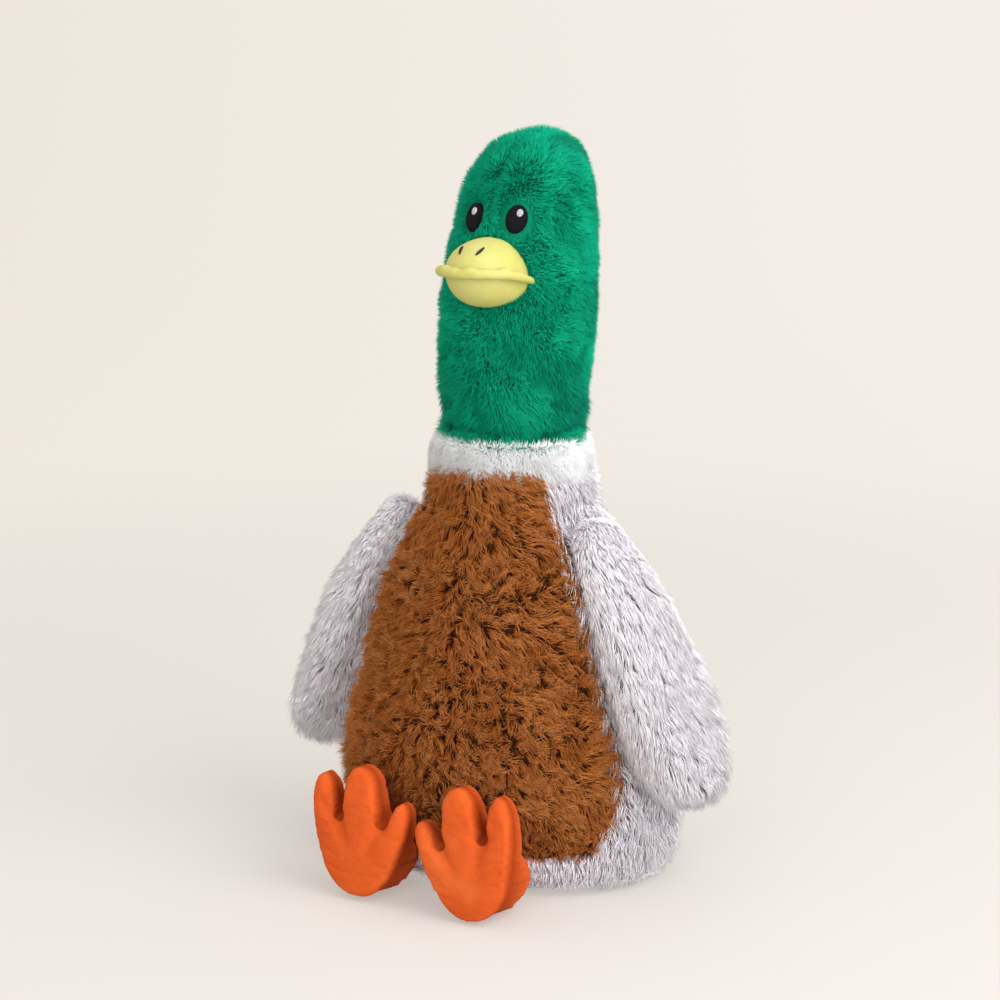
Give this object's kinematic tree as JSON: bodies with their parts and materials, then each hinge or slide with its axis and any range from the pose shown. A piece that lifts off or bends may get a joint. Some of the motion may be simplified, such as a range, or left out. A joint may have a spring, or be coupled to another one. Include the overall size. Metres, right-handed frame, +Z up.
{
  "type": "seated plush duck",
  "caption": "Seated soft-toy duck with a tall head on a collar, padded beak, long pile skins, loose wings and puffy upright feet on a weighted flat base.",
  "frame": {"origin": "middle of the flat base, on the plane that it rests on", "axes": "+Z up; the duck faces -Y and its own left side is +X"},
  "size_m": [0.1977, 0.1722, 0.3195],
  "materials": {
    "green_pile": "short dense pile",
    "white_pile": "medium pile",
    "brown_pile": "medium pile in soft tufts",
    "grey_pile": "long silky pile",
    "yellow_velour": "smooth velour",
    "orange_velour": "smooth velour",
    "black_thread": "satin stitch",
    "pale_thread": "satin stitch",
    "stuffing_fibre": "loose fibre",
    "pellet_fill": "pellets in a cloth pouch"
  },
  "bodies": {
    "torso": {"belly_panel": "brown_pile", "left_back_panel": "grey_pile", "right_back_panel": "grey_pile", "base_panel": "grey_pile", "body_stuffing": "stuffing_fibre", "weight_pouch": "pellet_fill", "tail_upper": "grey_pile", "tail_lower": "grey_pile", "tail_stuffing": "stuffing_fibre"},
    "neck": {"collar_band": "white_pile", "neck_stuffing": "stuffing_fibre"},
    "head": {"head_skin_left": "green_pile", "head_skin_right": "green_pile", "head_stuffing": "stuffing_fibre", "beak_upper": "yellow_velour", "beak_lower": "yellow_velour", "beak_stuffing": "stuffing_fibre", "beak_lip": "yellow_velour", "nostril_left": "black_thread", "nostril_right": "black_thread", "eye_left": "black_thread", "eye_right": "black_thread", "eye_glint_left": "pale_thread", "eye_glint_right": "pale_thread"},
    "left_wing": {"left_wing_outer": "grey_pile", "left_wing_inner": "grey_pile", "left_wing_stuffing": "stuffing_fibre"},
    "left_shank": {"left_leg": "orange_velour", "left_leg_stuffing": "stuffing_fibre"},
    "left_foot": {"left_foot_sole": "orange_velour", "left_foot_upper": "orange_velour", "left_foot_stuffing": "stuffing_fibre"},
    "right_wing": {"right_wing_outer": "grey_pile", "right_wing_inner": "grey_pile", "right_wing_stuffing": "stuffing_fibre"},
    "right_shank": {"right_leg": "orange_velour", "right_leg_stuffing": "stuffing_fibre"},
    "right_foot": {"right_foot_sole": "orange_velour", "right_foot_upper": "orange_velour", "right_foot_stuffing": "stuffing_fibre"}
  },
  "joints": [
    {"name": "neck_lean", "type": "hinge", "parent": "torso", "child": "neck", "pos_m": [0, 0.002, 0.188], "axis": [0, 1, 0], "range_deg": [-10, 10], "stiffness_Nm_per_rad": 1.5},
    {"name": "neck_nod", "type": "hinge", "parent": "neck", "child": "head", "pos_m": [0, 0.002, 0.188], "axis": [1, 0, 0], "range_deg": [-12, 12], "stiffness_Nm_per_rad": 1.5},
    {"name": "left_wing_swing", "type": "hinge", "parent": "torso", "child": "left_wing", "pos_m": [0.0444, -0.011, 0.157], "axis": [-0.4067, -0.9136, 0], "range_deg": [0, 80]},
    {"name": "right_wing_swing", "type": "hinge", "parent": "torso", "child": "right_wing", "pos_m": [-0.0444, -0.011, 0.157], "axis": [-0.4067, 0.9136, 0], "range_deg": [0, 80]},
    {"name": "left_hip", "type": "hinge", "parent": "torso", "child": "left_shank", "pos_m": [0.0335, -0.054, 0.0108], "axis": [-1, 0, 0], "range_deg": [-35, 12], "stiffness_Nm_per_rad": 0.05},
    {"name": "left_ankle", "type": "hinge", "parent": "left_shank", "child": "left_foot", "pos_m": [0.0335, -0.0735, 0.012], "axis": [1, 0, 0], "range_deg": [-8, 8], "stiffness_Nm_per_rad": 0.05},
    {"name": "right_hip", "type": "hinge", "parent": "torso", "child": "right_shank", "pos_m": [-0.0262, -0.0566, 0.0108], "axis": [-1, 0, 0], "range_deg": [-35, 12], "stiffness_Nm_per_rad": 0.05},
    {"name": "right_ankle", "type": "hinge", "parent": "right_shank", "child": "right_foot", "pos_m": [-0.0262, -0.0735, 0.012], "axis": [1, 0, 0], "range_deg": [-8, 8], "stiffness_Nm_per_rad": 0.05}
  ]
}
